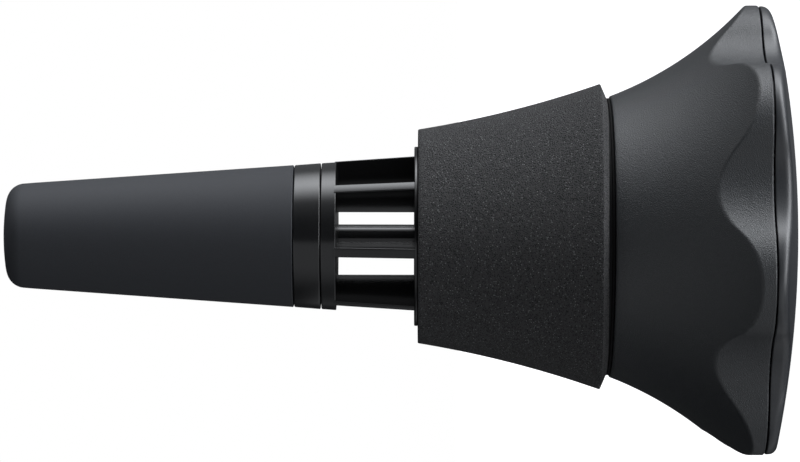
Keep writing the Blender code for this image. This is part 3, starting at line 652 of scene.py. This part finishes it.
def make_cage(finish):
    """The cage: a front ring with its threaded spigot, seven fins, and the rear flange with its skirt."""
    low, high = RING_BASE, RING_TOP
    hub_base, hub_top = HUB_BASE, HUB_BASE + HUB_THICKNESS
    inset, step = 3.2, 0.7  # of the hub's edge and of the chamfer to the ring, from the cone
    spigot_bore = SPIGOT_RADIUS - 2.4
    front = [
        (PLATE_BORE, hub_base),
        (cone_radius(hub_base) - inset, hub_base),
        (cone_radius(low) - step, low),
        (cone_radius(low), low),
        (cone_radius(high), high),
        (SPIGOT_RADIUS, high),
    ]
    back = [(spigot_bore, SPIGOT_TOP), (spigot_bore, hub_top), (PLATE_BORE, hub_top)]
    front_eased = eased(front + [(SPIGOT_RADIUS, SPIGOT_TOP)] + back, 0.22)
    cut = [index for index, point in enumerate(front_eased) if abs(point[0] - SPIGOT_RADIUS) < 1e-6]
    thread_base, thread_top = high + THREAD_MARGIN, SPIGOT_TOP - THREAD_MARGIN
    thread = threaded(SPIGOT_RADIUS, thread_base, thread_top, THREAD_DEPTH, 30)
    first, last = cut[0], cut[-1]

    def front_profile(angle):
        return front_eased[: first + 1] + thread(angle) + front_eased[last:]

    bm = turned_mesh(front_profile, THREADED_STEPS)
    skirt, flange = SKIRT_RADIUS, 22.39
    bore, skirt_base, flange_base = skirt - 3.4, CAGE_BASE - 6.5, CAGE_BASE - 0.3
    rear = [(bore, skirt_base), (skirt, skirt_base)] + o_ring_groove(skirt, *CAGE_GROOVE)
    rear += [(skirt, flange_base), (flange, flange_base), (flange, WINDOW_BASE), (bore, WINDOW_BASE)]
    rear_eased = eased(rear, 0.3)
    join(bm, turned_mesh(lambda angle: rear_eased, THREADED_STEPS))
    for lobe in range(LOBES):
        fin = bmesh.new()
        for vert in bmesh.ops.create_cube(fin, size=1.0)["verts"]:
            height = low + 0.4 if vert.co.z > 0 else WINDOW_BASE - 0.35
            reach = cone_radius(height) + 0.15 if vert.co.x > 0 else FIN_INNER_RADIUS
            vert.co = Vector((reach, math.copysign(FIN_THICKNESS / 2, vert.co.y), height)) * MM
        upright = [edge for edge in fin.edges if abs(edge.verts[0].co.z - edge.verts[1].co.z) > 0.01]
        bmesh.ops.bevel(
            fin, geom=upright, offset=0.22 * MM, segments=3, profile=0.5, affect="EDGES", material=-1
        )
        fin.transform(Matrix.Rotation(math.tau * lobe / LOBES, 4, "Z"))
        join(bm, fin)
    return add_piece("cage", bm, finish, "mute_body", "vent_cage")


def make_union_ring(finish):
    """The ring that draws the nose onto the spigot, rounded at its front and threaded inside."""
    bore, lip = SPIGOT_RADIUS + GAP, 13.9
    base, lip_base = RING_TOP + 0.25, COUPLING_TOP - 1.5
    front_round, rear_round = 0.4, 0.22
    corner = (cone_radius(COUPLING_TOP) - front_round, COUPLING_TOP - front_round)
    front = rounded(corner, front_round, 0, 90, 6)
    front += [(lip, COUPLING_TOP), (lip, lip_base), (bore, lip_base)]
    edge = cone_radius(base)
    rear = [(bore, base), (edge - 0.33, base), (edge - rear_round, base), (edge - 0.06, base + 0.06)]
    rear += [(edge, base + rear_round), (edge, base + 0.33)]
    thread = threaded(bore, base + THREAD_MARGIN, lip_base - 0.9, -THREAD_DEPTH, 34)

    def profile(angle):
        return rear + front + thread(angle)[::-1]

    bm = turned_mesh(profile, THREADED_STEPS)
    return add_piece("union_ring", bm, finish, "coupling", "coupling_ring")


def make_soft_nose(finish):
    """The soft sleeve: a tapered side, a rounded corner and a slightly domed end."""
    lean = math.degrees(math.atan(CONE_SLOPE))
    tip_round, rear_round, inner_round, dome, end_wall = 4.5, 0.35, 1.0, 60.0, 3.3
    side = cone_radius(NOSE_TIP - tip_round) - tip_round
    drop = math.sqrt((dome - tip_round) ** 2 - side**2)
    corner = (side, NOSE_TIP - dome + drop)
    steep = math.degrees(math.acos(side / (dome - tip_round)))
    reach = corner[0] + tip_round * math.cos(math.radians(steep))
    ends = [reach * i / 8 for i in range(8)]
    crown = [(radius, NOSE_TIP - dome + math.sqrt(dome**2 - radius**2)) for radius in ends]
    shoulder = rounded(corner, tip_round, steep, lean, 12)
    low, high = NOSE_BASE + rear_round, shoulder[-1][1]
    sides = [high + (low - high) * i / 24 for i in range(1, 25)]
    tapered = [(cone_radius(height), height) for height in sides]
    rear = rounded((cone_radius(NOSE_BASE) - rear_round, low), rear_round, 0, -90, 5)
    inner_top = NOSE_TIP - end_wall
    inner = cone_radius(inner_top) - SLEEVE_WALL
    bore = [(cone_radius(NOSE_BASE) - SLEEVE_WALL, NOSE_BASE), (inner, inner_top - inner_round)]
    bore += rounded((inner - inner_round, inner_top - inner_round), inner_round, 0, 90, 4)
    profile = crown + shoulder + tapered + rear + bore + [(0, inner_top)]
    return turned("soft_nose", profile, ROUND_STEPS, finish, "cap", "nose_cap")


def make_nose_cup(finish):
    """The rigid cup in the nose, with its neck, its flange and the plug that fills the spigot."""
    plug, bore, neck = PLUG_RADIUS, PLUG_RADIUS - 2.7, 13.6
    flange_base, flange_top = SPIGOT_TOP + GAP, COUPLING_TOP - 1.8
    inner_top = LINER_TOP - LINER_WALL
    outside = [
        (0, LINER_TOP),
        (liner_radius(LINER_TOP), LINER_TOP),
        (liner_radius(NOSE_BASE), NOSE_BASE),
        (neck, NOSE_BASE),
        (neck, flange_top),
        (SPIGOT_RADIUS, flange_top),
        (SPIGOT_RADIUS, flange_base),
        (plug, flange_base),
    ]
    inside = [
        (plug, PLUG_BASE),
        (bore, PLUG_BASE),
        (bore, flange_top),
        (liner_radius(NOSE_BASE, LINER_WALL), NOSE_BASE + LINER_WALL),
        (liner_radius(inner_top, LINER_WALL), inner_top),
        (0, inner_top),
    ]
    profile = eased(outside + o_ring_groove(plug, *NOSE_GROOVE)[::-1] + inside, 0.35, closed=False)
    return turned("nose_cup", profile, ROUND_STEPS, finish, "nose", "nose_liner")


def make_air_tube(finish):
    """The tube on the axis, drawn smooth, with the collar that stops it on its grommet."""
    bore, outside, collar = 2.0, 2.95, 4.2
    base, stop = BAFFLE_BASE - 5.2, BAFFLE_TOP + GAP + BUSH_FLANGE + GAP
    stop_top = stop + 1.0
    profile = [(bore, base), (outside, base), (outside, stop), (collar, stop)]
    profile += [(collar, stop_top), (outside, stop_top), (outside, TUBE_TOP), (bore, TUBE_TOP)]
    return turned("air_tube", eased(profile, 0.2), SMALL_STEPS, finish, "mute_body", "centre_tube")


def make_carrier(finish):
    """The rigid carrier under the sponge, with its socket, its rear flange and its four screw bosses."""
    top, flange_top = CORE_TOP - 0.1, CORE_BASE + CARRIER_FLANGE
    inner_rows = SEAT.heights(flange_top, SOCKET_BASE, 16)
    outer = [(SEAT.at(height, GAP), height) for height in SEAT.heights(top, CORE_BASE, 24)]
    inner = [(SEAT.at(height, CARRIER_INSET), height) for height in inner_rows]
    flange_bore = SCREW_CIRCLE - 2.8
    flange = [(flange_bore, CORE_BASE), (flange_bore, flange_top)]
    socket = [(SOCKET_RADIUS, SOCKET_BASE), (SOCKET_RADIUS, top)]
    bm = turned_mesh(lambda angle: outer + flange + inner + socket, ROUND_STEPS)
    places = [math.radians(45 + 90 * i) for i in range(SCREW_COUNT)]
    spots = [(SCREW_CIRCLE * math.cos(turn), SCREW_CIRCLE * math.sin(turn)) for turn in places]
    boss_radius, hole_base, hole_top = 3.2, 42.9, BOSS_TOP - 2.0
    for x, y in spots:
        join(bm, post(boss_radius, BOSS_BASE, BOSS_TOP, x, y))
    bm = cut_holes(bm, [post(SCREW_HOLE_RADIUS, hole_base, hole_top, x, y, 32) for x, y in spots])
    return add_piece("carrier", bm, finish, "mute_body", "core_cone")


def make_collar_sponge(finish):
    """The sponge collar: a cut concave cone with sharp edges, and a bevel at its rear that is cut unevenly."""
    top, wall = CORE_TOP + 0.1, -COLLAR_WALL
    corner_round, bevel_height = 0.18, 1.6
    corner_slant, foot_slant = 0.32, 0.38  # half of how far forward the cut runs at the near and far sides
    front = rounded((SEAT.at(top, wall) - 0.2, top - 0.2), corner_round, 90, 15, 3)

    def profile(angle):
        slant = 1 - math.cos(2 * angle)
        foot, rear = CORE_BASE + foot_slant * slant, CORE_BASE + bevel_height + corner_slant * slant
        inner = [(SEAT.at(height), height) for height in SEAT.heights(foot, top, 24)]
        outer = [(SEAT.at(height, wall), height) for height in SEAT.heights(top - 0.3, rear + 0.15, 90)]
        corner = Vector((SEAT.at(rear, wall), rear))
        along = Vector(inner[0]) - corner
        bevel = [tuple(corner + along * share) for share in (0.04, 0.12, 0.3, 0.5, 0.7, 0.9)]
        return front + outer + bevel + inner

    bm = turned_mesh(profile, COLLAR_STEPS)
    lumps, unevenness = 420, 0.0012
    for vert in bm.verts:
        vert.co.xy *= 1 - unevenness * (0.5 + 0.5 * noise.noise(vert.co * lumps))
    piece = add_piece("collar_sponge", bm, finish, "collar", "foam_collar")
    return piece


def make_soft_ring(name, profile, finish, body, node, swell):
    """A foam piece inside the mute, with its faces slightly uneven where it was cut."""
    bm = turned_mesh(lambda angle: profile, FOAM_STEPS)
    lumps = 260
    for vert in bm.verts:
        away = noise.noise(vert.co * lumps) * 0.5 + 0.5
        vert.co.xy *= 1 - swell * away
    return add_piece(name, bm, finish, body, node)


def make_bush(name, base, top, flush, finish, node):
    """A rubber grommet in the bore of a plate between two heights, with a flange below it unless flush."""
    bore, neck, rim = 3.25, 4.6, 6.0
    low, high = base - GAP, top + GAP
    foot = [(bore, low - BUSH_FLANGE), (rim, low - BUSH_FLANGE), (rim, low), (neck, low)]
    if flush:
        foot = [(bore, base), (neck, base)]
    profile = foot + [(neck, high), (rim, high), (rim, high + BUSH_FLANGE), (bore, high + BUSH_FLANGE)]
    return turned(name, eased(profile, 0.25), SMALL_STEPS, finish, "mute_body", node)


def make_o_ring(name, radius, base, finish, body, node):
    """An O-ring in its groove, level with the wall that it lies in."""
    cord = 0.55
    ring = rounded((radius - cord, base + 0.7), cord, 0, 360, 20)[:-1]
    return turned(name, ring, ROUND_STEPS, finish, body, node)


def make_baffle(finish):
    """The disc that clamps the neck, drilled for seven vents and four screws."""
    edge = FLARE.at(BAFFLE_TOP, SHELL_WALL) - 1.2
    square = [(PLATE_BORE, BAFFLE_BASE), (edge, BAFFLE_BASE), (edge, BAFFLE_TOP), (PLATE_BORE, BAFFLE_TOP)]
    disc = eased(square, 0.25)
    bm = turned_mesh(lambda angle: disc, ROUND_STEPS)
    tools = []
    vents, screw_holes = (LOBES, 15.5, 3.5, 0), (SCREW_COUNT, SCREW_CIRCLE, SCREW_HOLE_RADIUS, 45)
    for count, circle, radius, start in (vents, screw_holes):
        for i in range(count):
            turn = math.tau * i / count + math.radians(start)
            x, y = circle * math.cos(turn), circle * math.sin(turn)
            tools.append(post(radius, BAFFLE_BASE - 0.5, BAFFLE_TOP + 0.5, x, y))
    return add_piece("baffle", cut_holes(bm, tools), finish, "mute_body", "baffle_plate")


def make_screw(number, finish):
    """A pan-head screw with a hexagonal socket and a cut thread."""
    seat, end = BAFFLE_BASE - GAP, BOSS_TOP - 2.3
    head, head_radius, head_round, shank = seat - 1.9, 2.8, 0.8, 1.5
    across_flats, pitch, depth, rows = 1.08, 0.7, 0.28, 60
    crown = rounded((head_radius - head_round, head + head_round), head_round, -90, 0, 5)

    def profile(angle):
        sixth = math.tau / 6
        flat = across_flats / math.cos(angle % sixth - sixth / 2)
        made = [(0, head + 1.1), (flat, head + 1.1), (flat, head + 0.12), (flat + 0.12, head)]
        made += crown + [(head_radius, seat - 0.1), (2.7, seat), (shank, seat)]
        for row in range(rows):
            height = seat + 0.6 + (end - seat - 1.0) * row / (rows - 1)
            turn = (height / pitch - angle / math.tau) % 1.0
            made.append((shank - depth * min(1.0, 2.4 * abs(turn - 0.5)), height))
        return made + [(1.0, end), (0, end)]

    bm = turned_mesh(profile, SCREW_STEPS)
    turn = math.radians(45 + 90 * (number - 1))
    bm.transform(Matrix.Translation(Vector((math.cos(turn), math.sin(turn), 0)) * SCREW_CIRCLE * MM))
    return add_piece(f"screw_{number}", bm, finish, "mute_body", f"baffle_screw_{number}")


def make_studio():
    """A white floor under the mute, the lights round it, which the camera sees as white, and the camera."""
    scene = bpy.context.scene
    floor_bm = bmesh.new()
    bmesh.ops.create_circle(floor_bm, cap_ends=True, segments=96, radius=6.0)
    mesh = bpy.data.meshes.new("floor")
    floor_bm.to_mesh(mesh)
    floor_bm.free()
    floor = bpy.data.objects.new("floor", mesh)
    scene.collection.objects.link(floor)
    paper, _, shader = new_finish("white paper", 0.9, (0.8, 0.8, 0.8))
    shader.inputs["Emission Color"].default_value = (1, 1, 1, 1)
    shader.inputs["Emission Strength"].default_value = 0.95
    shader.inputs["Specular IOR Level"].default_value = 0.0
    mesh.materials.append(paper)
    for kind in ("visible_glossy", "visible_diffuse", "visible_shadow", "visible_transmission"):
        setattr(floor, kind, False)

    world = bpy.data.worlds.new("studio")
    scene.world = world
    world.use_nodes = True
    tree = world.node_tree
    tree.nodes.clear()
    toward = place(tree, "ShaderNodeTexCoord").outputs["Generated"]
    part = place(tree, "ShaderNodeSeparateXYZ", Vector=toward)
    across, away, level = (part.outputs[axis] for axis in "XYZ")
    toward_camera = calculate(tree, "MULTIPLY", away, -1.0)
    turn = calculate(tree, "DEGREES", calculate(tree, "ARCTAN2", across, toward_camera))
    softbox = band(tree, turn, *SOFTBOX_TURN)
    softbox = calculate(tree, "MULTIPLY", softbox, band(tree, level, *SOFTBOX_LEVEL))
    spill = band(tree, turn, *SPILL_TURN)
    table = band(tree, turn, *TABLE_TURN)
    behind = ramp(tree, turn, *BEHIND_TURN)
    front = calculate(tree, "MULTIPLY", table, ramp(tree, level, *FRONT_LEVEL))
    upright = calculate(tree, "MULTIPLY", softbox, band(tree, level, *UPRIGHT_LEVEL))
    wall = band(tree, level, *WALL_LEVEL)
    wall = calculate(tree, "MULTIPLY", wall, ramp(tree, away, *WALL_AWAY))
    under = band(tree, turn, *UNDER_TURN)
    under = calculate(tree, "MULTIPLY", under, ramp(tree, level, *UNDER_LEVEL))
    tilt = calculate(tree, "MULTIPLY", across, STRIP_NORMAL[0])
    tilt = calculate(tree, "MULTIPLY_ADD", away, STRIP_NORMAL[1], tilt)
    tilt = calculate(tree, "MULTIPLY_ADD", level, STRIP_NORMAL[2], tilt)
    strip = band(tree, tilt, *STRIP_TILT)
    strip = calculate(tree, "MULTIPLY", strip, band(tree, across, *STRIP_ACROSS))
    strip = calculate(tree, "MULTIPLY", strip, ramp(tree, level, *STRIP_LEVEL))
    lights = (
        (softbox, 6.1),
        (spill, 0.3),
        (table, 0.5),
        (behind, 0.12),
        (front, 0.24),
        (upright, 0.8),
        (wall, 0.55),
        (under, 0.45),
        (strip, 9.5),
    )
    total = AMBIENT
    for share, strength in lights:
        total = calculate(tree, "MULTIPLY_ADD", share, strength, total)
    glow = place(tree, "ShaderNodeBackground", Color=GLOW_COLOUR, Strength=total)
    white = place(tree, "ShaderNodeBackground", Color=(1.0, 1.0, 1.0), Strength=1.0)
    seen = place(tree, "ShaderNodeLightPath").outputs["Is Camera Ray"]
    mixed = tree.nodes.new("ShaderNodeMixShader")
    tree.links.new(seen, mixed.inputs[0])
    tree.links.new(glow.outputs[0], mixed.inputs[1])
    tree.links.new(white.outputs[0], mixed.inputs[2])
    out = tree.nodes.new("ShaderNodeOutputWorld")
    tree.links.new(mixed.outputs[0], out.inputs["Surface"])

    camera_data = bpy.data.cameras.new("camera")
    camera_data.sensor_width = SENSOR_WIDTH
    camera_data.lens = SENSOR_WIDTH * CAMERA_DISTANCE / FRAME_WIDTH
    camera_data.clip_start = 0.05
    camera_data.clip_end = 50.0
    camera = bpy.data.objects.new("camera", camera_data)
    scene.collection.objects.link(camera)
    sight = Matrix(((0, 1, 0), (0, 0, -1), (-1, 0, 0))).to_4x4()  # the nose is to the left in the picture
    around = Matrix.Rotation(math.radians(CAMERA_TURN), 4, "Z")
    place_at = Matrix.Translation(Vector((CAMERA_ACROSS, -CAMERA_DISTANCE, CAMERA_HEIGHT)) * MM)
    roll = Matrix.Rotation(math.radians(CAMERA_ROLL), 4, "Z")
    camera.matrix_world = around @ place_at @ sight @ roll
    scene.camera = camera
    scene.view_settings.view_transform = "Standard"
    scene.view_settings.look = "None"


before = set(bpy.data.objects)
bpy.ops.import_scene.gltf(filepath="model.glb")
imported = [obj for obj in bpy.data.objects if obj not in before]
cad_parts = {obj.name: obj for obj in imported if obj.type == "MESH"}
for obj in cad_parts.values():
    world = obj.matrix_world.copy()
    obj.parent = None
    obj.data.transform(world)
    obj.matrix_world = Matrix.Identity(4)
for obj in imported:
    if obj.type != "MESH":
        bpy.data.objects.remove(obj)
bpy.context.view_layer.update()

GROUPS = {"grain": spark_grain_group(), "handling": handling_group(), "foam": foam_cells_group()}

silicone = moulded_finish(
    "soft silicone",
    dark=(0.0135, 0.0148, 0.0178),
    light=(0.0165, 0.0180, 0.0212),
    roughness=0.72,
    grains=3200.0,
    pitting=0.3,
    relief=0.012,
    marks=0.05,
    Specular_IOR_Level=0.3,
)
GLOSS = {
    "dark": (0.0056, 0.0058, 0.0062),
    "light": (0.0074, 0.0076, 0.0080),
    "roughness": 0.2,
    "grains": 2200.0,
    "pitting": 0.2,
    "relief": 0.0006,
    "marks": 0.05,
}
gloss = moulded_finish("gloss plastic", **GLOSS)
# Painted shade on the fins and hub, between the windows' base and the front ring.
cage_gloss = moulded_finish("cage plastic", **GLOSS, painted_shade_heights=(WINDOW_BASE, RING_BASE))
satin = moulded_finish(
    "grained plastic",
    dark=(0.0075, 0.0086, 0.0098),
    light=(0.0175, 0.0195, 0.0215),
    roughness=0.4,
    grains=3700.0,
    pitting=0.7,
    relief=0.085,
    marks=0.06,
)
cover_satin = moulded_finish(
    "fine grained plastic",
    dark=(0.0095, 0.0106, 0.0125),
    light=(0.0165, 0.0180, 0.0205),
    roughness=0.38,
    grains=3000.0,
    pitting=0.5,
    relief=0.02,
    marks=0.05,
)
inner_plastic = moulded_finish(
    "inner plastic",
    dark=(0.035, 0.035, 0.037),
    light=(0.045, 0.045, 0.047),
    roughness=0.45,
    grains=1500.0,
    pitting=0.4,
    relief=0.02,
    marks=0.12,
)
carrier_plastic = moulded_finish(
    "carrier plastic",
    dark=(0.006, 0.006, 0.0064),
    light=(0.008, 0.008, 0.0085),
    roughness=0.6,
    grains=1500.0,
    pitting=0.4,
    relief=0.02,
    marks=0.1,
    Specular_IOR_Level=0.15,
)
rubber = moulded_finish(
    "rubber",
    dark=(0.008, 0.008, 0.008),
    light=(0.012, 0.012, 0.012),
    roughness=0.7,
    grains=2600.0,
    pitting=0.4,
    relief=0.015,
    marks=0.1,
)
sponge = foam_finish(
    "collar foam",
    dark=(0.003, 0.003, 0.0031),
    light=(0.038, 0.038, 0.0388),
    glint=(0.18, 0.18, 0.185),
    cells=2700.0,
    pores=0.6,
    relief=0.36,
    roughness=0.85,
    shine=0.16,
    # painted light: faces turned towards the rear are drawn 1.75 times lighter
    cut=1.75,
)
felt = foam_finish(
    "damping foam",
    dark=(0.03, 0.03, 0.032),
    light=(0.14, 0.14, 0.145),
    glint=(0.3, 0.3, 0.31),
    cells=1300.0,
    pores=0.6,
    relief=0.4,
)
steel = steel_finish()

make_flared_shell(satin)
make_domed_cover(cover_satin)
make_cage(cage_gloss)
make_union_ring(gloss)
make_air_tube(gloss)
make_soft_nose(silicone)
make_nose_cup(inner_plastic)
make_carrier(carrier_plastic)
make_baffle(inner_plastic)
make_collar_sponge(sponge)

# Black rubber, drawn darker and less shiny than the other rubber: partly painted shade, for the groove at the
# neck where shade falls.
neck_rubber_painted_dark = moulded_finish(
    "neck rubber with painted shade",
    dark=(0.003, 0.003, 0.0031),
    light=(0.0042, 0.0042, 0.0043),
    roughness=0.8,
    grains=1500.0,
    pitting=0.4,
    relief=0.01,
    marks=0.05,
    Specular_IOR_Level=0.08,
)
washer = [(WASHER_BORE, WASHER_BASE), (WASHER_RADIUS, WASHER_BASE)]
washer += [(WASHER_RADIUS, WASHER_TOP), (WASHER_BORE, WASHER_TOP)]
turned("neck_washer", eased(washer, 0.15), ROUND_STEPS, neck_rubber_painted_dark, "mute_body", "neck_seal")
make_bush("baffle_bush", BAFFLE_BASE, BAFFLE_TOP, False, rubber, "baffle_grommet")
make_bush("front_bush", HUB_BASE, HUB_BASE + HUB_THICKNESS, True, rubber, "front_grommet")
make_o_ring("cage_o_ring", SKIRT_RADIUS, CAGE_GROOVE[0], rubber, "mute_body", "cage_seal")
make_o_ring("nose_o_ring", PLUG_RADIUS, NOSE_GROOVE[0], rubber, "nose", "nose_seal")
for number in range(1, SCREW_COUNT + 1):
    make_screw(number, steel)

damper_base, damper_top, damper_inset = TUBE_TOP + 10.0, LINER_TOP - 1.8, 1.8
damper = [
    (0, damper_top),
    (liner_radius(damper_top, damper_inset), damper_top),
    (liner_radius(damper_base, damper_inset), damper_base),
    (0, damper_base),
]
make_soft_ring("nose_foam", eased(damper, 1.2, closed=False), felt, "nose", "nose_damper", 0.01)

sleeve_length, sleeve_inset, sleeve_bore = 27.0, 2.4, 16.8
sleeve_rows = SEAT.heights(BOSS_TOP + GAP + sleeve_length, BOSS_TOP + GAP, 24)
sleeve = [(SEAT.at(height, sleeve_inset), height) for height in sleeve_rows]
sleeve += [(sleeve_bore, sleeve_rows[-1]), (sleeve_bore, sleeve_rows[0])]
make_soft_ring("carrier_foam", eased(sleeve, 0.8), felt, "mute_body", "core_damper", 0.004)

pad_lift, pad_height = 2.1, 12.0  # above the dome's outside, and from there
pad_edge = RIM_RADIUS + 0.1 - SCOOP_DEPTH - SHELL_WALL - 2.9
pad_rows = [FOOT_RADIUS + 6.0 * i for i in range(6)]
pad_rear = dome_height(pad_edge) + pad_lift
pad_top = pad_rear + pad_height
pad = [(0, pad_lift)] + [(radius, dome_height(radius) + pad_lift) for radius in pad_rows]
pad += [(pad_edge, pad_rear), (pad_edge, pad_top), (0, pad_top)]
make_soft_ring("pad_foam", eased(pad, 1.0, closed=False), felt, "mute_body", "damping_pad", 0.004)

make_studio()
